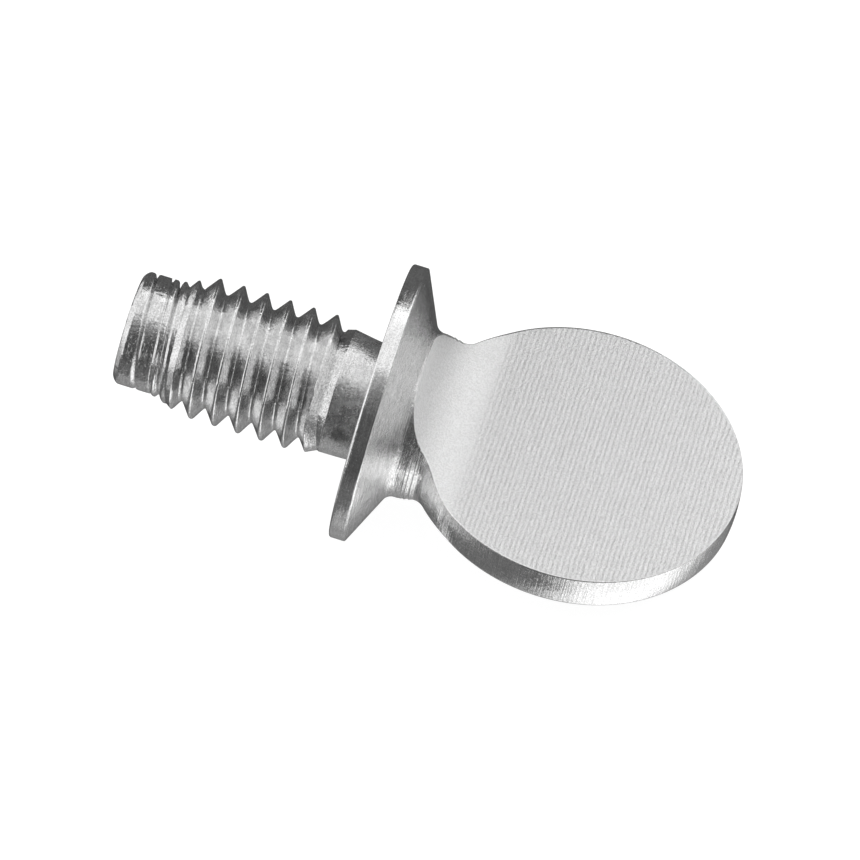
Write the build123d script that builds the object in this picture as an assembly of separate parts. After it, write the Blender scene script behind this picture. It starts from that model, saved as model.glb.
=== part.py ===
from build123d import *
import os
from math import atan2, ceil, degrees, radians, sqrt, tan

# Sizes in millimetres; places along the screw are measured from the collar's bearing face
thread_pitch = 1.0
thread_major_d = 5.85
thread_angle = 60.0
thread_crest_flat = 0.216
thread_root_flat = 0.12
thread_end = 1.85
thread_end_angle = -51.0
thread_bevel = 0.59
thread_run_out_turns = 0.5

shank_length = 10.37
point_step = 0.53
point_length = 1.62
point_chamfer = 0.235
lead_length = 1.4

plain_length = 1.43
plain_step = 0.315
plain_taper = 0.12
plain_lip = 0.08
plain_lip_step = 0.04

collar_d = 11.68
collar_rim = 0.67
collar_edge_break = 0.095
collar_cone_angle = 64.6

neck_d = 7.0
neck_length = 1.335
neck_fillet = 0.3
head_fillet = 0.9

ball_d = 13.47
spade_thickness = 1.57
cutter_r = 2.93
cutter_gap = 0.019
seam_angle = 45.0

# Places that follow from the sizes
flank = tan(radians(thread_angle / 2))
thread_depth = (thread_pitch - thread_crest_flat - thread_root_flat) / 2 / flank
major_r = thread_major_d / 2
root_r = major_r - thread_depth
point_r = major_r - point_step
plain_r = major_r - plain_step
collar_r = collar_d / 2
neck_r = neck_d / 2
ball_r = ball_d / 2
half_spade = spade_thickness / 2
bevel_end = plain_length + plain_lip
cone_end = collar_rim + (collar_r - neck_r) / tan(radians(collar_cone_angle))
neck_end = cone_end + neck_length
ball_centre = neck_end + sqrt(ball_r**2 - neck_r**2)
cutter_stop = cone_end + cutter_gap
spade_reach = ball_centre + sqrt(ball_r**2 - half_spade**2)


# The bar turned to point, thread blank, plain shank, collar and neck
def turned_blank():
    outline = Polyline(
        (0, -shank_length),
        (point_r - point_chamfer, -shank_length),
        (point_r, point_chamfer - shank_length),
        (point_r, point_length - shank_length),
        (major_r, point_length + lead_length - shank_length),
        (major_r, -bevel_end - thread_bevel),
        (plain_r - plain_lip_step, -bevel_end),
        (plain_r, -plain_length),
        (plain_r - plain_taper, 0),
        (collar_r - collar_edge_break, 0),
        (collar_r, collar_edge_break),
        (collar_r, collar_rim),
        (neck_r, cone_end),
        (neck_r, ball_centre),
        (0, ball_centre),
        close=True,
    )
    return revolve(Plane.XZ * make_face(outline), Axis.Z)


# The ring where two turned surfaces meet at a given place along the screw
def ring_at(body, place):
    rings = body.edges().filter_by(GeomType.CIRCLE)
    return rings.sort_by(lambda ring: abs(ring.arc_center.Z - place))[0]


# The turned ball that the spade is milled from, with the tool's radius in both corners of the neck
def with_ball(blank):
    body = blank + Pos(0, 0, ball_centre) * Sphere(ball_r)
    body = fillet(ring_at(body, cone_end), neck_fillet)
    return fillet(ring_at(body, neck_end), head_fillet)


# What the side mill takes off one face: a flat that runs out in the cutter's own radius
def milled_side():
    flat_start = cutter_stop + cutter_r
    clear = ball_r + cutter_r
    past_end = ball_centre + clear
    path = Polyline(
        (half_spade, flat_start),
        (half_spade, past_end),
        (clear, past_end),
        (clear, cutter_stop),
        (half_spade + cutter_r, cutter_stop),
    )
    path += RadiusArc((half_spade + cutter_r, cutter_stop), (half_spade, flat_start), cutter_r)
    return extrude(Plane.XZ * make_face(path), clear, both=True)


# The groove along a right-hand helix from height zero upwards, its root rising by a given amount;
# its flanks run on outside the crests until half of the crest flat is left between two turns
def groove(height, rise):
    half_root = thread_root_flat / 2
    half_mouth = thread_pitch / 2 - thread_crest_flat / 4
    mouth_r = root_r + (half_mouth - half_root) / flank
    section = Polyline(
        (root_r, -half_root),
        (mouth_r, -half_mouth),
        (mouth_r, half_mouth),
        (root_r, half_root),
        close=True,
    )
    across = Plane((0, 0, 0), x_dir=(1, 0, 0), z_dir=(0, 1, 0))
    path = Helix(thread_pitch, height, root_r, cone_angle=degrees(atan2(rise, height)))
    return sweep(across * make_face(section), path=path, is_frenet=True)


# The rolled thread, turn by turn from where its groove leaves the metal back past the point
def with_thread(body):
    end = Pos(0, 0, -thread_end) * Rot(0, 0, thread_end_angle)
    run_out = thread_run_out_turns * thread_pitch
    body -= end * groove(run_out, plain_r + thread_root_flat - root_r)
    turn = groove(thread_pitch, 0)
    turns = ceil((shank_length - thread_end) / thread_pitch) + 1
    for k in range(turns):
        body -= Pos(0, 0, -(k + 1) * thread_pitch) * end * turn
    return body


# The turning, with its seam clear of the flats and of the spade's edge, then milled and threaded
def screw():
    body = Rot(0, 0, seam_angle) * with_ball(turned_blank())
    side = milled_side()
    body -= side
    body -= Rot(0, 0, 180) * side
    return with_thread(body)


# Lying at rest, it touches the ground with the collar's cone edge and the far end of the lower flat
def at_rest(body):
    lean = degrees(atan2(collar_r - half_spade, spade_reach - collar_rim))
    laid = Rot(0, 90 + lean, 0) * Rot(0, 0, 180) * body
    box = laid.bounding_box()
    return Pos(-box.center().X, -box.center().Y, -box.min.Z) * laid


os.makedirs("parts", exist_ok=True)
export_step(at_rest(screw()), "parts/thumb_screw.step")
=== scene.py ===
import math

import bpy
import numpy as np
from mathutils import Matrix, Vector

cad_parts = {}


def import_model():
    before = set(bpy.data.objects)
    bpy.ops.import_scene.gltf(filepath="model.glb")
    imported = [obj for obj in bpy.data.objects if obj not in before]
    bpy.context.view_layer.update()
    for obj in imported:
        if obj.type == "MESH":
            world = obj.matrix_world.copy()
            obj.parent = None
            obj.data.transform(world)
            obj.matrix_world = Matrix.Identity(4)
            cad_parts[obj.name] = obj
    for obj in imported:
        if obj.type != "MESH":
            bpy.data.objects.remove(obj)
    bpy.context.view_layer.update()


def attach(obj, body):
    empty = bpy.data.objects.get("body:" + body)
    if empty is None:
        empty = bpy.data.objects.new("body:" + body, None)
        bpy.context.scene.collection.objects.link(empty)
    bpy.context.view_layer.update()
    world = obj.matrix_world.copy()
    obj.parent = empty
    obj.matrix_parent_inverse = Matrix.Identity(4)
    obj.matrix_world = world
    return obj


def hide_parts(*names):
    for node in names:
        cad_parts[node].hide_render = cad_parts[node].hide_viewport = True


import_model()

# Sizes in millimetres: radii, or lengths where the name says so. Places along the screw are measured from
# the collar's bearing face, with the shank on the negative side
MM = 0.001
PITCH, MAJOR, ROOT = 1.0, 2.925, 2.35
THREAD_END, RUN_OUT_LENGTH, RUN_OUT_RISE = 1.85, 0.5, 0.38
SHANK_LENGTH, POINT, POINT_LENGTH, LEAD_LENGTH = 10.37, 2.395, 1.62, 1.4
PLAIN, PLAIN_LENGTH, PLAIN_TAPER = 2.61, 1.43, 0.12
COLLAR, RIM_LENGTH, EDGE_BREAK = 5.84, 0.67, 0.095
CONE_ANGLE = math.radians(64.6)
NECK, NECK_LENGTH, NECK_FILLET, HEAD_FILLET = 3.5, 1.335, 0.45, 0.9
BALL, HALF_SPADE = 6.735, 0.785
CUTTER, CUTTER_GAP = 2.93, 0.019
# The rounded edge of the tip: lengths from its end, with the steps in from the point's radius
TIP_EDGE = ((0.0, 0.235), (0.07, 0.125), (0.17, 0.035), (0.235, 0.0))

# Places that follow from the sizes
TAU = 2 * math.pi
CONE_N = (math.cos(CONE_ANGLE), math.sin(CONE_ANGLE))
CONE_END = RIM_LENGTH + (COLLAR - NECK) / math.tan(CONE_ANGLE)
BALL_Z = CONE_END + NECK_LENGTH + math.sqrt(BALL**2 - NECK**2)
FLAT_START = CONE_END + CUTTER_GAP + CUTTER
FLAT_R = math.sqrt(BALL**2 - HALF_SPADE**2)
SPADE_END = BALL_Z + FLAT_R
TIP = POINT - TIP_EDGE[0][1]

# The screw's own axes in the row: n is the upper flat's normal, w lies across the spade and u runs from
# the point to the spade. At rest the cone's edge and the far end of the lower flat touch the ground, and
# the origin is under the middle of the box
LEAN = math.atan2(COLLAR - HALF_SPADE, SPADE_END - RIM_LENGTH)
AXIS_N = np.array([math.sin(LEAN), 0.0, math.cos(LEAN)])
AXIS_W = np.array([0.0, -1.0, 0.0])
AXIS_U = np.array([math.cos(LEAN), 0.0, -math.sin(LEAN)])
SPADE_X = SPADE_END * math.cos(LEAN) + HALF_SPADE * math.sin(LEAN)
POINT_X = -SHANK_LENGTH * math.cos(LEAN) - TIP * math.sin(LEAN)
BEARING_HEIGHT = COLLAR * math.cos(LEAN) + RIM_LENGTH * math.sin(LEAN)
BEARING = np.array([-(SPADE_X + POINT_X) / 2, 0.0, BEARING_HEIGHT]) * MM


# Shank: the blank before rolling, from the tip to the collar. A sharp step takes almost no length, and a
# cut that leaves the metal as it is has a radius outside everything
SHARP_STEP, OUTSIDE = 0.001, 9.0
BLANK = [(end - SHANK_LENGTH, POINT - step) for end, step in TIP_EDGE]
BLANK += [(POINT_LENGTH - SHANK_LENGTH, POINT), (POINT_LENGTH + LEAD_LENGTH - SHANK_LENGTH, MAJOR)]
BLANK += [(-PLAIN_LENGTH - SHARP_STEP, MAJOR), (-PLAIN_LENGTH, PLAIN), (0.0, PLAIN - PLAIN_TAPER)]
BLANK_Z, BLANK_R = np.array(BLANK).T

# The rolling left the flanks that face the point a little less steep than those that face the collar
FLANK_TO_COLLAR, FLANK_TO_POINT = (math.tan(math.radians(angle)) for angle in (30.0, 37.0))
# Place of a root at angle zero, half of its flat, and the rounding in roots and on crests
ROOT_PLACE, ROOT_FLAT, ROOT_ROUND, CREST_ROUND = -1.7583, 0.02, 0.055, 0.05

# The bevel before the plain length, its valley, and the slope from there up to the last crest. Pairs blend
# over ranges of angle round the shank, in degrees: first, last and the fade beyond both
WIDE_SIDE = (-125.0, 62.0, 62.0)
STEEP_SIDE = (0.0, 110.0, 40.0)
LOW_SIDE = (25.0, 110.0, 40.0)
LOWEST_SIDE = (85.0, 140.0, 30.0)
BEVEL_SLOPES, VALLEY_WIDTHS = (0.36, 0.42), (0.08, 0.35)
CREST_SLOPES, CREST_SLOPE_LOW, CREST_SLOPE_LOWEST = (0.60, 1.73), 1.0, 0.55
BEVEL_LENGTH, BEVEL_FALL, BEVEL_DROP = 0.33, 1.5, 0.4

# Laps that the rolling left on the point: place, depth, and reach towards the point and the collar. They
# are deepest round one angle, given with its width in degrees
LAPS = (
    (-9.72, 0.16, 0.07, 0.07),
    (-9.07, 0.24, 0.05, 0.07),
    (-8.70, 0.30, 0.07, 0.07),
    (-8.33, 0.27, 0.17, 0.26),
    (-7.71, 0.05, 0.06, 0.06),
)
LAP_SIDE, LAP_LEAST = (-50.0, 60.0), 0.3

# The shank isn't quite in line with the collar: how far off it lies by the point and by the collar, the
# places between which it goes there, and the way
OFF_BY_POINT, POINT_BEND = 0.05, (-9.2, -7.2)
OFF_BY_COLLAR, COLLAR_BEND = 0.115, (-2.3, 0.0)
OFF_WAY = math.radians(130.5)

# Columns round the screw, and rows along the shank: shares of the pitch from a root, which follow the
# helix over more turns than the shank has and are clipped, then rings over the bevel and the plain length
COLUMNS = 128
THETA = np.arange(COLUMNS) * TAU / COLUMNS
ROOT_ROWS = (-0.10, -0.065, -0.035, 0.0, 0.035, 0.065, 0.10)
ROWS_TO_CREST = (0.16, 0.22, 0.28, 0.34, 0.40, 0.44)
CREST_ROWS = (0.465, 0.485, 0.505, 0.525, 0.55, 0.575, 0.595, 0.615, 0.635)
ROWS_TO_ROOT = (0.67, 0.72, 0.77, 0.82, 0.86)
TURN_ROWS = sorted(row % 1.0 for row in ROOT_ROWS + ROWS_TO_CREST + CREST_ROWS + ROWS_TO_ROOT)
TURNS = range(-14, 3)
HELIX_END = -1.86
BEVEL_ROWS = np.arange(-1.84, -1.36, 0.0165)
PLAIN_ROWS = (-1.3, -1.15, -0.95, -0.7, -0.45, -0.2, -0.08, 0.0)
TIP_SHARES = (0.8, 0.55, 0.3, 0.1)


def smooth_step(x, a, b):
    t = np.clip((x - a) / (b - a), 0.0, 1.0)
    return t * t * (3 - 2 * t)


def blend(a, b, share):
    return a + (b - a) * share


def rounded_min(a, b, reach):
    """The lesser of two radii, with the corner between them rounded."""
    share = np.clip(0.5 + 0.5 * (a - b) / reach, 0.0, 1.0)
    return a * (1 - share) + b * share - reach * share * (1 - share)


def degrees_from(theta, middle):
    """Signed way from a middle angle, in degrees."""
    return (np.degrees(theta) - middle + 180.0) % 360.0 - 180.0


def angle_from(theta, middle, width):
    """How near an angle is to the middle one: 1 there, falling off over the width, in degrees."""
    return np.exp(-((degrees_from(theta, middle) / width) ** 2))


def angle_span(theta, first, last, fade):
    """1 from the first angle to the last, in degrees, falling to 0 over the fade on both sides."""
    middle, half = 0.5 * (first + last), 0.5 * (last - first)
    return 1 - smooth_step(np.abs(degrees_from(theta, middle)), half, half + fade)


def bevel_slope(theta):
    return blend(*BEVEL_SLOPES, angle_span(theta, *STEEP_SIDE))


def plain_start(theta, z):
    """Radius left by the turning before the plain length: a bevel down to a valley, then a slope up."""
    wide = angle_span(theta, *WIDE_SIDE)
    slope = bevel_slope(theta)
    width = blend(*VALLEY_WIDTHS, wide)
    rise = blend(*CREST_SLOPES, wide)
    rise = blend(rise, CREST_SLOPE_LOW, angle_span(theta, *LOW_SIDE))
    rise = blend(rise, CREST_SLOPE_LOWEST, angle_span(theta, *LOWEST_SIDE))
    away = -PLAIN_LENGTH - z
    valley = PLAIN - slope * width
    r = np.where(away < width, PLAIN - slope * away, valley + rise * (away - width))
    return np.where(away < 0, OUTSIDE, r)


def groove_radius(theta, z):
    """Radius left by the rolled groove, taken over the nearest turns; it runs out at the plain length."""
    line = ROOT_PLACE + PITCH * theta / TAU
    turn = np.round((z - line) / PITCH)
    best = np.full(np.broadcast(theta, z).shape, OUTSIDE)
    for k in (-1, 0, 1):
        centre = line + PITCH * (turn + k)
        root = ROOT + RUN_OUT_RISE * np.clip((centre + THREAD_END) / RUN_OUT_LENGTH, 0.0, 1.0)
        away = np.maximum(np.abs(z - centre) - ROOT_FLAT, 0.0)
        flank = np.where(z > centre, FLANK_TO_POINT, FLANK_TO_COLLAR)
        cut = root + (np.sqrt(away**2 + ROOT_ROUND**2) - ROOT_ROUND) / flank
        best = np.minimum(best, np.where(centre < RUN_OUT_LENGTH - THREAD_END, cut, OUTSIDE))
    return best


def shank_radius(theta, z):
    """Radius of the shank at an angle and a place along it."""
    blank = np.minimum(np.interp(z, BLANK_Z, BLANK_R), plain_start(theta, z))
    rho = rounded_min(blank, groove_radius(theta, z), CREST_ROUND)
    # the bevel before the plain length stays whole where the groove runs out beside it
    away = -PLAIN_LENGTH - z
    past = np.maximum(away - BEVEL_LENGTH, 0.0)
    narrow = 1 - angle_span(theta, *WIDE_SIDE)
    bevel = PLAIN - bevel_slope(theta) * away - BEVEL_FALL * past - BEVEL_DROP * narrow
    rho = np.where(away > 0, np.maximum(rho, bevel), rho)
    # narrow laps that the rolling left on the point
    near = blend(LAP_LEAST, 1.0, angle_from(theta, *LAP_SIDE))
    for place, depth, to_point, to_collar in LAPS:
        away = z - place - PITCH * degrees_from(theta, 0.0) / 360.0
        share = np.where(away < 0, 1 + away / to_point, 1 - away / to_collar)
        rho = rho - near * depth * np.clip(share, 0.0, 1.0)
    return rho


def shank_offset(z):
    """How far the shank's middle lies off the axis, along n and w."""
    by_point = OFF_BY_POINT * (1 - smooth_step(z, *POINT_BEND))
    off = by_point + OFF_BY_COLLAR * smooth_step(z, *COLLAR_BEND)
    return off * math.cos(OFF_WAY), off * math.sin(OFF_WAY)


# Head: the turned outline from the collar's rim to the end of the ball
neck_fillet_z = RIM_LENGTH + (NECK_FILLET + CONE_N[0] * (COLLAR - NECK - NECK_FILLET)) / CONE_N[1]
cone_foot = (NECK + NECK_FILLET - NECK_FILLET * CONE_N[0], neck_fillet_z - NECK_FILLET * CONE_N[1])
head_fillet_z = BALL_Z - math.sqrt((BALL + HEAD_FILLET) ** 2 - (NECK + HEAD_FILLET) ** 2)
ball_start = BALL_Z - (BALL_Z - head_fillet_z) * BALL / (BALL + HEAD_FILLET)

# Ridges that the tool left on the neck: start, length of the slope after it and height; and the length of
# the rise before each
NECK_RIDGES = ((2.34, 0.10, 0.012), (2.49, 0.15, 0.045), (2.69, 0.17, 0.05))
RIDGE_RISE = 0.03

# The collar's rows: rings of its face, its edge as steps in from the rim and along it, rings of the rim,
# and the rounded edge to the cone
FACE_RINGS = (2.9, 3.5, 4.2, 4.9, 5.5)
COLLAR_EDGE = ((EDGE_BREAK, 0.0), (0.04, 0.022), (0.012, 0.056), (0.0, EDGE_BREAK))
RIM_RINGS = (0.2, 0.33, 0.46, 0.58, 0.632)
CONE_EDGE, CONE_EDGE_STEP = 0.045, (0.008, 0.006)
CONE_RINGS, FILLET_RINGS = 18, 6

# The spade's rows and columns, closer over the ridges of the neck, and its broken edges: one edge of each
# flat is broken less than the other, and both breaks narrow with the flat
CUTTER_ROWS, BALL_ROWS, FACE_COLUMNS = 96, 84, 32
RIDGE_ROWS = np.arange(2.30, 2.92, 0.0151)
NECK_END = 3.2
BREAK_NEAR, BREAK_FAR, BREAK_SHARE = 0.045, 0.11, 0.25
FIRST_COLUMN = 1.4
BEND = (0.28, 0.5, 0.72)


def turned_radius(z):
    """Radius of the turned surface above the cone's foot."""
    z = np.asarray(z, float)
    low = NECK + NECK_FILLET - np.sqrt(np.maximum(NECK_FILLET**2 - (neck_fillet_z - z) ** 2, 0.0))
    high = NECK + HEAD_FILLET - np.sqrt(np.maximum(HEAD_FILLET**2 - (z - head_fillet_z) ** 2, 0.0))
    ball = np.sqrt(np.maximum(BALL**2 - (z - BALL_Z) ** 2, 0.0))
    r = np.where(z < neck_fillet_z, low, NECK)
    r = np.where(z > head_fillet_z, high, r)
    for start, length, tall in NECK_RIDGES:
        rise = np.clip((z - start) / RIDGE_RISE + 1, 0.0, 1.0)
        r = r + tall * rise * np.clip(1 - (z - start) / length, 0.0, 1.0)
    return np.where(z > ball_start, ball, r)


def cutter_at(psi):
    """The cutter's run-out at one of its angles: distance from the middle of the spade, and place."""
    return HALF_SPADE + CUTTER - CUTTER * np.sin(psi), FLAT_START - CUTTER * np.cos(psi)


def find_cut_start():
    """The cutter's angle at which it meets the turned surface."""
    low, high = 0.01, 0.2
    for _ in range(60):
        mid = 0.5 * (low + high)
        f, z = cutter_at(mid)
        low, high = (mid, high) if f > turned_radius(z) else (low, mid)
    return high


cut_psi = find_cut_start()
cut_start_z = float(cutter_at(cut_psi)[1])


class Grid:
    """Collects rows of points and the faces between them; points in the same place become one."""

    def __init__(self):
        self.points, self.index, self.faces, self.slots = [], {}, [], []

    def add(self, p):
        p = tuple(float(c) for c in p)
        key = tuple(round(c, 6) for c in p)
        if key not in self.index:
            self.index[key] = len(self.points)
            self.points.append(p)
        return self.index[key]

    def face(self, corners, slot):
        seen = list(dict.fromkeys(corners))
        if len(seen) > 2:
            self.faces.append(seen)
            self.slots.append(slot)


THREAD, TURNED, MILLED, EDGED = range(4)
grid = Grid()


def ring(radius, z, middle=(0.0, 0.0)):
    """A closed row at one place along the screw."""
    xs, ys = radius * np.cos(THETA) + middle[0], radius * np.sin(THETA) + middle[1]
    return [grid.add((x, y, z)) for x, y in zip(xs, ys)]


def join(a, b, slot):
    """Faces between two closed rows, the first one lower along the screw."""
    n = len(a)
    for j in range(n):
        k = (j + 1) % n
        grid.face((a[j], a[k], b[k], b[j]), slot)


def build_shank():
    """Rows follow the helix, so that crests and roots stay smooth, and are clipped at both ends."""
    heights = np.array([ROOT_PLACE + PITCH * (turn + row) for turn in TURNS for row in TURN_ROWS])
    columns = []
    for t in THETA:
        z = np.clip(heights + PITCH * t / TAU, -SHANK_LENGTH, HELIX_END)
        rho = shank_radius(np.full_like(z, t), z)
        off_n, off_w = shank_offset(z)
        points = zip(rho * math.cos(t) + off_n, rho * math.sin(t) + off_w, z)
        columns.append([grid.add(p) for p in points])
    # the last column meets the first one a turn further on
    for here, after in zip(columns, columns[1:] + [columns[0][len(TURN_ROWS):]]):
        for k in range(len(after) - 1):
            grid.face((here[k], after[k], after[k + 1], here[k + 1]), THREAD)
    tip, top = [column[0] for column in columns], [column[-1] for column in columns]
    for z in (*BEVEL_ROWS, *PLAIN_ROWS):
        row = ring(shank_radius(THETA, np.full_like(THETA, z)), z, shank_offset(z))
        join(top, row, THREAD)
        top = row
    return tip, top


def build_tip(tip):
    """The flat end of the point."""
    rim = [np.array(grid.points[i]) for i in tip]
    middle = sum(rim) / len(rim)
    row = tip
    for share in TIP_SHARES:
        inner = [grid.add(middle + share * (p - middle)) for p in rim]
        join(inner, row, TURNED)
        row = inner
    last = grid.add(middle)
    for j in range(len(row)):
        grid.face((last, row[(j + 1) % len(row)], row[j]), TURNED)


def build_collar(top):
    """Bearing face, rim and cone, up to the place where the cutter starts."""
    outline = [(r, 0.0) for r in FACE_RINGS]
    outline += [(COLLAR - step, z) for step, z in COLLAR_EDGE]
    outline += [(COLLAR, z) for z in RIM_RINGS]
    outline.append((COLLAR - CONE_EDGE_STEP[0], RIM_LENGTH - CONE_EDGE_STEP[1]))
    cone_start = (COLLAR - CONE_EDGE * CONE_N[1], RIM_LENGTH + CONE_EDGE * CONE_N[0])
    outline += np.linspace(cone_start, cone_foot, CONE_RINGS + 1).tolist()
    fillet = np.linspace(cone_foot[1], cut_start_z, FILLET_RINGS + 1)[1:]
    outline += [(float(turned_radius(z)), z) for z in fillet]
    row = top
    for r, z in outline:
        after = ring(r, z)
        join(row, after, TURNED)
        row = after
    return row


def bend(a, corner, b):
    """Points on the way round a broken edge."""
    a, corner, b = np.array(a), np.array(corner), np.array(b)
    return [tuple((1 - t) ** 2 * a + 2 * t * (1 - t) * corner + t * t * b) for t in BEND]


def edge_points(f, width, z, beta, near, far):
    """The turned edge from the upper flat to the lower one; on the ball its rows bow out to the end."""
    rho = math.hypot(width, f)
    turn = math.atan2(width, f)
    bow = 0.0 if beta is None else float(smooth_step(z, FLAT_START, BALL_Z)) * math.cos(beta)
    points = []
    for t in np.linspace(turn + near / rho, math.pi - turn - far / rho, COLUMNS // 2 + 1):
        n = rho * math.cos(t)
        place = z if beta is None else z - bow * (math.sqrt(BALL**2 - n * n) - FLAT_R)
        reach = float(turned_radius(place))
        points.append((n, math.sqrt(max(reach * reach - n * n, 0.0)), place))
    return points


def slice_row(f, z, beta=None):
    """One closed row round the milled head, as four runs: upper flat, near edge, lower flat, far edge.

    It lies at a distance f from the middle of the spade; beta is the angle round the ball, if it is there.
    """
    rho = float(turned_radius(z))
    width = math.sqrt(max(rho * rho - f * f, 0.0)) if beta is None else FLAT_R * math.sin(beta)
    near, far = (min(size, BREAK_SHARE * width) for size in (BREAK_NEAR, BREAK_FAR))
    across = np.linspace(FIRST_COLUMN * far - width, width - FIRST_COLUMN * near, FACE_COLUMNS + 1)
    flat = [(f, w, z) for w in (far - width, *across, width - near)]
    side = edge_points(f, width, z, beta, near, far)
    first = bend(flat[-1], (f, width, z), side[0])
    last = bend(side[-1], (-f, width, z), (-f, width - far, z))
    upper = [flat, first + side + last]
    lower = [[(-n, -w, place) for n, w, place in run] for run in upper]
    return [[grid.add(p) for p in run] for run in upper + lower]


def build_head(row):
    """The neck and ball with both flats and their run-outs."""
    quarter = math.pi / 2 - cut_psi
    cutter_turns = [cut_psi + quarter * (i / CUTTER_ROWS) ** 2 for i in range(CUTTER_ROWS + 1)]
    cutter_turns += [math.acos((FLAT_START - z) / CUTTER) for z in RIDGE_ROWS]
    run_out = [cutter_at(psi) for psi in sorted(cutter_turns)]
    neck_rows = sum(1 for _, z in run_out if z < NECK_END)
    rows = [slice_row(float(f), float(z)) for f, z in run_out]
    first_beta = math.acos((BALL_Z - FLAT_START) / FLAT_R)
    for beta in np.linspace(first_beta, math.pi, BALL_ROWS + 1)[1:]:
        rows.append(slice_row(HALF_SPADE, BALL_Z - FLAT_R * math.cos(beta), beta))
    bends = len(BEND)
    near, far = (rows[0][run][bends:-bends] for run in (1, 3))
    join(row, near[:-1] + far[:-1], TURNED)
    for i, (a, b) in enumerate(zip(rows, rows[1:])):
        edge = TURNED if i < neck_rows else EDGED
        for run, slot in enumerate((MILLED, edge, MILLED, edge)):
            for j in range(len(a[run]) - 1):
                grid.face((a[run][j], a[run][j + 1], b[run][j + 1], b[run][j]), slot)
            after = (run + 1) % 4
            grid.face((a[run][-1], a[after][0], b[after][0], b[run][-1]), EDGED)


tip, top = build_shank()
build_tip(tip)
build_head(build_collar(top))


class Nodes:
    """Short calls for building a node tree."""

    def __init__(self, tree):
        self.tree = tree

    def new(self, kind, **values):
        node = self.tree.nodes.new(kind)
        for key, value in values.items():
            setattr(node, key, value)
        return node

    def link(self, a, b):
        self.tree.links.new(a, b)

    def feed(self, value, target):
        if isinstance(value, (int, float)):
            target.default_value = value
        else:
            self.link(value, target)

    def math(self, operation, a, b=None):
        node = self.new("ShaderNodeMath", operation=operation)
        for i, value in enumerate((a, b)):
            if value is not None:
                self.feed(value, node.inputs[i])
        return node.outputs[0]

    def add(self, *terms):
        total = terms[0]
        for term in terms[1:]:
            total = self.math("ADD", total, term)
        return total

    def times(self, a, b):
        return self.math("MULTIPLY", a, b)

    def combine(self, x, y, z):
        node = self.new("ShaderNodeCombineXYZ")
        for i, value in enumerate((x, y, z)):
            self.feed(value, node.inputs[i])
        return node.outputs[0]

    def noise(self, vector, scale, detail, rough=0.55):
        node = self.new("ShaderNodeTexNoise")
        node.inputs["Scale"].default_value = scale
        node.inputs["Detail"].default_value = detail
        node.inputs["Roughness"].default_value = rough
        self.link(vector, node.inputs["Vector"])
        return node.outputs["Fac"]

    def step(self, value, a, b, low=0.0, high=1.0):
        """From low to high as the value goes from a to b, smoothly."""
        node = self.new("ShaderNodeMapRange", interpolation_type="SMOOTHSTEP")
        self.feed(value, node.inputs["Value"])
        node.inputs["From Min"].default_value = a
        node.inputs["From Max"].default_value = b
        node.inputs["To Min"].default_value = low
        node.inputs["To Max"].default_value = high
        return node.outputs["Result"]

    def bump(self, height, depth, before=None):
        """Adds relief of a depth in millimetres to the normal before it."""
        node = self.new("ShaderNodeBump")
        node.inputs["Distance"].default_value = depth * MM
        node.inputs["Strength"].default_value = 1.0
        self.link(height, node.inputs["Height"])
        if before is not None:
            self.link(before, node.inputs["Normal"])
        return node.outputs["Normal"]

    def grey(self, value, target):
        """Sends a grey level into a colour socket."""
        self.link(self.combine(value, value, value), target)

    def place(self):
        """Millimetres along n, w and u from the bearing face, as one vector and apart."""
        coords = self.new("ShaderNodeTexCoord")
        shift = self.new("ShaderNodeVectorMath", operation="SUBTRACT")
        shift.inputs[1].default_value = BEARING
        self.link(coords.outputs["Object"], shift.inputs[0])
        parts = []
        for axis in (AXIS_N, AXIS_W, AXIS_U):
            dot = self.new("ShaderNodeVectorMath", operation="DOT_PRODUCT")
            dot.inputs[1].default_value = axis / MM
            self.link(shift.outputs[0], dot.inputs[0])
            parts.append(dot.outputs["Value"])
        return self.combine(*parts), *parts


def new_material(name):
    """A material with its nodes and the sockets of its shader."""
    material = bpy.data.materials.new(name)
    material.use_nodes = True
    tree = material.node_tree
    return material, Nodes(tree), tree.nodes["Principled BSDF"].inputs


# Turned and rolled zinc: how closely its lines lie along the outline, how often they change round the axis,
# the radius inside which they no longer do, and how uneven its roughness is
LINES_ALONG, LINES_AROUND, LINES_FROM = 6.0, 2.0, 0.3
ROUGH_SPREAD = 0.05
# The plain length is duller from just before its start; the lines are faint on the face and the rim
DULL_FROM, DULL_TO = -PLAIN_LENGTH - 0.02, 0.05 - PLAIN_LENGTH
FAINT_LINES, FAINT_FADE = 0.3, 0.05
# Dark places on the shank by n, w, u, with their reach and the share of the grey level left: a pit at the
# top of the thread's end, and a patch low on the plain length that is made darker; their edges are ragged
# and fade
DARK_PLACES = (((2.31, -0.57, -1.76), 0.18, 0.45), ((0.3, 2.6, -0.75), 0.38, 0.5))
DARK_RAGGED, DARK_FADE = 0.3, 0.25


def lines_round_axis(m, n, w, u, on_ball):
    """Noise that is drawn out into lines round the axis."""
    rho = m.math("SQRT", m.add(m.times(n, n), m.times(w, w)))
    share = m.math("DIVIDE", 1.0, m.math("MAXIMUM", rho, LINES_FROM))
    if on_ball:
        turn = m.math("ARCTAN2", rho, m.math("SUBTRACT", u, BALL_Z))
        along = m.times(turn, BALL * LINES_ALONG)
    else:
        along = m.times(m.math("SUBTRACT", u, rho), LINES_ALONG)
    around = [m.times(m.times(part, share), LINES_AROUND) for part in (n, w)]
    return m.noise(m.combine(*around, along), scale=2.0, detail=4.0, rough=0.65)


# Darkens the grey level round each given place down to its share, over a ragged edge that fades
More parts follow.
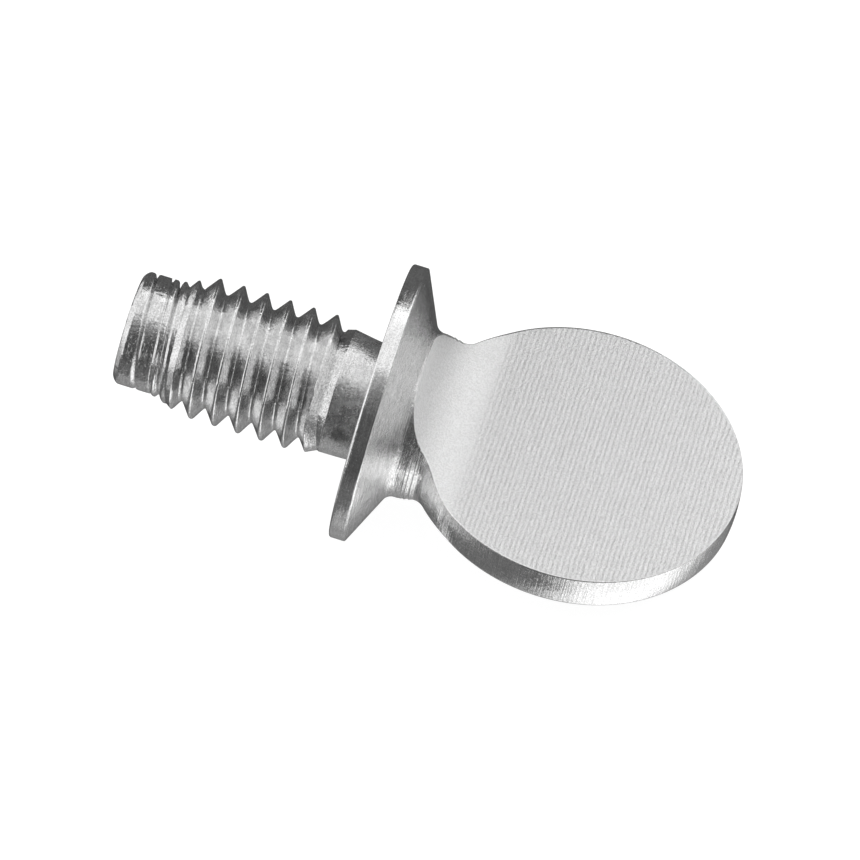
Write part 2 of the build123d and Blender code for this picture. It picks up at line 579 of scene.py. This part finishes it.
def darkened(m, level, point, grain, dark_places):
    for place, reach, share in dark_places:
        away = m.new("ShaderNodeVectorMath", operation="DISTANCE")
        m.link(point, away.inputs[0])
        away.inputs[1].default_value = place
        ragged = m.add(away.outputs["Value"], m.times(grain, DARK_RAGGED))
        level = m.times(level, m.step(ragged, reach, reach + DARK_FADE, share, 1.0))
    return level


def turned_metal(name, base, spread, rough, line_depth, grain_depth, speck_depth, swell_depth,
                 on_ball=False, plain_rough=0.0, dark_places=()):
    """Bright zinc over turned or rolled steel: fine marks run round the axis, the plating is grainy."""
    material, m, shader = new_material(name)
    point, n, w, u = m.place()
    lines = lines_round_axis(m, n, w, u, on_ball)
    blotch = m.noise(point, scale=1.6, detail=3.0, rough=0.6)
    grain = m.noise(point, scale=8.0, detail=2.0, rough=0.5)
    fine = m.noise(point, scale=15.0, detail=2.0, rough=0.7)
    speck = m.step(m.noise(point, scale=10.0, detail=2.0, rough=0.6), 0.56, 0.78)
    swell = m.noise(point, scale=3.0, detail=2.0, rough=0.5)
    mix = m.add(m.times(blotch, 0.2), m.times(fine, 0.45), m.times(lines, 0.35))
    level = m.step(mix, 0.40, 0.60, base - spread, base + spread)
    m.grey(darkened(m, level, point, grain, dark_places), shader["Base Color"])
    uneven = m.step(blotch, 0.3, 0.7, rough - ROUGH_SPREAD, rough + ROUGH_SPREAD)
    duller = m.step(u, DULL_FROM, DULL_TO, 0.0, plain_rough)
    m.link(m.add(uneven, duller), shader["Roughness"])
    strength = 1.0 if on_ball else m.step(u, RIM_LENGTH, RIM_LENGTH + FAINT_FADE, FAINT_LINES, 1.0)
    normal = m.bump(swell, swell_depth)
    normal = m.bump(m.times(lines, strength), line_depth, normal)
    normal = m.bump(grain, grain_depth, normal)
    normal = m.bump(speck, speck_depth, normal)
    m.link(normal, shader["Normal"])
    shader["Metallic"].default_value = 1.0
    return material


# Milled zinc: distance between rows of marks, how far they wander and jitter, where they start on the flat
MARK_PITCH, MARK_WANDER, MARK_JITTER = 0.205, 0.12, 0.05
MARKS_FROM, MARKS_TO, MARKS_LEAST = 4.3, 5.2, 0.1
MARK_DEPTH, MARK_SHADE, MILLED_GRAIN_DEPTH = 0.014, 0.10, 0.036


def milled_metal(name):
    """The flats: rows of short broken marks across the spade, over fine grain."""
    material, m, shader = new_material(name)
    point, n, w, u = m.place()
    wander = m.noise(m.combine(m.times(w, 0.7), m.times(u, 0.7), n), scale=1.0, detail=2.0)
    jitter = m.noise(point, scale=5.0, detail=1.0)
    row = m.add(u, m.times(wander, MARK_WANDER), m.times(jitter, MARK_JITTER))
    wave = m.math("SINE", m.times(row, TAU / MARK_PITCH))
    pieces = m.combine(m.times(w, 8.0), m.times(row, 7.0), n)
    broken = m.noise(pieces, scale=1.5, detail=2.0, rough=0.6)
    grain = m.noise(point, scale=15.0, detail=2.0, rough=0.75)
    ridges = m.times(m.step(wave, -0.6, 0.9), m.step(broken, 0.44, 0.56))
    marks = m.times(ridges, m.step(u, MARKS_FROM, MARKS_TO, MARKS_LEAST, 1.0))
    mix = m.add(m.times(grain, 0.7), m.times(broken, 0.3))
    level = m.step(mix, 0.42, 0.58, 0.85, 1.0)
    m.grey(m.add(level, m.times(marks, -MARK_SHADE)), shader["Base Color"])
    m.link(m.step(grain, 0.3, 0.7, 0.30, 0.42), shader["Roughness"])
    normal = m.bump(marks, MARK_DEPTH)
    normal = m.bump(grain, MILLED_GRAIN_DEPTH, normal)
    m.link(normal, shader["Normal"])
    shader["Metallic"].default_value = 1.0
    return material


# In the order of the slots THREAD, TURNED, MILLED and EDGED; depths of the relief in millimetres
materials = [
    turned_metal("zinc_on_thread", base=0.76, spread=0.16, rough=0.16, line_depth=0.030, grain_depth=0.013,
                 speck_depth=0.006, swell_depth=0.018, plain_rough=0.11, dark_places=DARK_PLACES),
    turned_metal("zinc_turned", base=0.86, spread=0.13, rough=0.14, line_depth=0.034, grain_depth=0.008,
                 speck_depth=0.002, swell_depth=0.006),
    milled_metal("zinc_milled"),
    turned_metal("zinc_ball_edge", base=0.86, spread=0.13, rough=0.13, line_depth=0.016, grain_depth=0.006,
                 speck_depth=0.005, swell_depth=0.006, on_ball=True),
]

SHARP_ANGLE = math.radians(36.0)
to_row = np.stack([AXIS_N, AXIS_W, AXIS_U]) * MM
mesh = bpy.data.meshes.new("screw_body")
mesh.from_pydata((np.array(grid.points) @ to_row + BEARING).tolist(), [], grid.faces)
for material in materials:
    mesh.materials.append(material)
mesh.polygons.foreach_set("material_index", np.array(grid.slots, np.int32))
mesh.validate()
mesh.update()
mesh.shade_smooth()
mesh.set_sharp_from_angle(angle=SHARP_ANGLE)
screw = bpy.data.objects.new("screw_body", mesh)
bpy.context.scene.collection.objects.link(screw)
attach(screw, "root")
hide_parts("thumb_screw")


# Studio: floor and cards, in millimetres, with their grey levels
WHITE, BLACK = (1.0, 1.0, 1.0, 1.0), (0.0, 0.0, 0.0, 1.0)
FLOOR_REACH, FLOOR_GREY, FLOOR_ROUGH, FLOOR_GLOW = 600, 0.2, 0.9, 0.93


def floor_material(name):
    """White floor: the camera sees it glow, so that it is white, and it keeps the shadow."""
    material, m, shader = new_material(name)
    shader["Base Color"].default_value = (FLOOR_GREY, FLOOR_GREY, FLOOR_GREY, 1.0)
    shader["Roughness"].default_value = FLOOR_ROUGH
    shader["Specular IOR Level"].default_value = 0.0
    shader["Emission Color"].default_value = WHITE
    path = m.new("ShaderNodeLightPath")
    m.link(m.times(path.outputs["Is Camera Ray"], FLOOR_GLOW), shader["Emission Strength"])
    return material


def card_material(name, level):
    """A studio card of an even grey."""
    material, _, shader = new_material(name)
    shader["Base Color"].default_value = BLACK
    shader["Specular IOR Level"].default_value = 0.0
    shader["Emission Color"].default_value = WHITE
    shader["Emission Strength"].default_value = level
    return material


def stage_mesh(name, corners, material):
    data = bpy.data.meshes.new(name)
    data.from_pydata([tuple(c * MM for c in p) for p in corners], [], [list(range(len(corners)))])
    data.materials.append(material)
    obj = bpy.data.objects.new(name, data)
    bpy.context.scene.collection.objects.link(obj)
    return obj


def standing(y, x0, x1, low, tall):
    return [(x0, y, low), (x1, y, low), (x1, y, tall), (x0, y, tall)]


def beside(x, y0, y1, low, tall):
    return [(x, y0, low), (x, y1, low), (x, y1, tall), (x, y0, tall)]


def lying(z, x0, x1, y0, y1):
    return [(x0, y0, z), (x1, y0, z), (x1, y1, z), (x0, y1, z)]


def before(low, tall):
    """A band of the card that stands before the screw."""
    return standing(-60, -27, 95, low, tall)


# Panels lie far below, each a little above the one before it; their outer edge is drawn in steps of
# about so many degrees
BELOW, STACK, PANEL_STEP = -200.0, 0.2, 6


def panel(first, last, shallow, steep):
    """A range of azimuth (0 to the back, 90 to the right) and of degrees below the horizon."""
    steps = max(2, int((last - first) / PANEL_STEP))
    turns = [math.radians(first + (last - first) * i / steps) for i in range(steps + 1)]
    near, far = (abs(BELOW) / math.tan(math.radians(d)) for d in (steep, shallow))
    outer = [(far * math.sin(t), far * math.cos(t)) for t in turns]
    if steep == 90:
        return outer + [(0.0, 0.0)]
    return outer + [(near * math.sin(t), near * math.cos(t)) for t in reversed(turns)]


# Cards that only reflections see: dark ones that stand behind and before the screw, pale ones that lie
# above it, one at its right, one close to the neck, and the panels below, which take their height from
# their order
CARDS = (
    ("card_far", standing(60, -60, 18, -8, 70), 0.11),
    ("card_face", lying(280, 0, 200, 170, 380), 1.3),
    ("card_above", lying(300, -260, 260, -260, 200), 0.93),
    ("card_near", before(-8, 50), 0.085),
    ("card_near_2", before(50, 72), 0.12),
    ("card_near_3", before(72, 105), 0.21),
    ("card_near_4", before(105, 150), 0.36),
    ("card_near_5", before(150, 210), 0.45),
    ("card_right", beside(95, -60, -5, -12, 40), 0.33),
    ("card_neck", standing(-5, -0.8, 1.5, 1.5, 4.5), 1.1),
    ("low_all", panel(0, 354, 3, 90), 0.15),
    ("low_left", panel(-118, -55, 3, 28), 0.5),
    ("low_left_steep", panel(-120, -55, 50, 90), 0.31),
    ("low_near_left", panel(-165, -120, 50, 65), 0.36),
    ("low_near_left_steep", panel(-170, -120, 65, 90), 0.6),
    ("low_far", panel(-60, 30, 3, 52), 0.095),
    ("low_far_steep", panel(-60, 60, 52, 65), 0.26),
    ("low_far_steepest", panel(-60, 60, 65, 90), 0.36),
    ("low_far_right", panel(28, 48, 3, 45), 0.26),
    ("low_right", panel(48, 105, 3, 45), 0.42),
    ("low_near", panel(165, 200, 3, 30), 0.11),
    ("low_near_steep", panel(168, 200, 50, 90), 0.95),
    ("low_light_soft", panel(60, 110, 45, 90), 0.6),
    ("low_light_start", panel(112, 180, 22, 45), 0.42),
    ("low_light_edge", panel(98, 180, 34, 60), 0.75),
    ("low_light", panel(80, 178, 41, 90), 1.3),
    ("low_light_near", panel(115, 165, 29, 60), 1.1),
)

floor_corners = lying(0, -FLOOR_REACH, FLOOR_REACH, -FLOOR_REACH, FLOOR_REACH)
floor = stage_mesh("floor", floor_corners, floor_material("floor_white"))
floor.visible_glossy = False

for order, (name, corners, grey) in enumerate(CARDS):
    level = BELOW + STACK * order
    card = stage_mesh(name, [(*c, level)[:3] for c in corners], card_material(name, grey))
    card.visible_camera = False
    card.visible_shadow = False
    card.visible_diffuse = False


# A softbox over the floor, in metres, which points straight down and isn't seen in reflections
SOFTBOX_PLACE, SOFTBOX_SIZE, SOFTBOX_RADIANCE = (0.0, 0.085, 0.25), (0.62, 0.425), 0.95
lamp = bpy.data.lights.new("softbox", "AREA")
lamp.shape = "RECTANGLE"
lamp.size, lamp.size_y = SOFTBOX_SIZE
lamp.energy = SOFTBOX_RADIANCE * math.pi * lamp.size * lamp.size_y
softbox = bpy.data.objects.new("softbox", lamp)
softbox.location = SOFTBOX_PLACE
softbox.visible_glossy = False
bpy.context.scene.collection.objects.link(softbox)

# The world is white to the camera and in reflections, and lights the floor less than that
WORLD_SEEN, WORLD_FILL = 1.0, 0.55
world = bpy.data.worlds.new("studio")
bpy.context.scene.world = world
world.use_nodes = True
sky = Nodes(world.node_tree)
background = world.node_tree.nodes["Background"].inputs
path = sky.new("ShaderNodeLightPath")
seen = sky.math("MAXIMUM", path.outputs["Is Camera Ray"], path.outputs["Is Glossy Ray"])
sky.link(sky.step(seen, 0.0, 1.0, WORLD_FILL, WORLD_SEEN), background["Strength"])
background["Color"].default_value = WHITE

# Camera, fitted to the photograph: it aims at the middle of the frame. In pixels, the frame's side, the
# focal length and where the bearing face's middle is seen; in metres, the distance to that middle and the
# nearest one drawn. From there, toward leads to the camera, and right is the frame's right
IMAGE, FOCAL, BEARING_PIXEL = 860.0, 7703.5, (371.23, 400.13)
DISTANCE, CLIP_START = 0.31487, 0.01
SENSOR_WIDTH = 36.0
toward = Vector((0.29121, -0.64840, 0.70342)).normalized()
right = Vector((0.95350, 0.25673, -0.15816)).normalized()
down = right.cross(toward)
to_middle = [IMAGE / 2 - pixel for pixel in BEARING_PIXEL]
eye = Vector(BEARING) + toward * DISTANCE
sight = (right * to_middle[0] + down * to_middle[1] - toward * FOCAL).normalized()
across = (right - sight * right.dot(sight)).normalized()
up = across.cross(sight)
camera_data = bpy.data.cameras.new("camera")
camera_data.sensor_fit = "HORIZONTAL"
camera_data.sensor_width = SENSOR_WIDTH
camera_data.lens = FOCAL * SENSOR_WIDTH / IMAGE
camera_data.clip_start = CLIP_START
camera = bpy.data.objects.new("camera", camera_data)
turn = Matrix((across, up, -sight)).transposed()
camera.matrix_world = Matrix.Translation(eye) @ turn.to_4x4()
bpy.context.scene.collection.objects.link(camera)
bpy.context.scene.camera = camera
bpy.context.scene.view_settings.view_transform = "Standard"
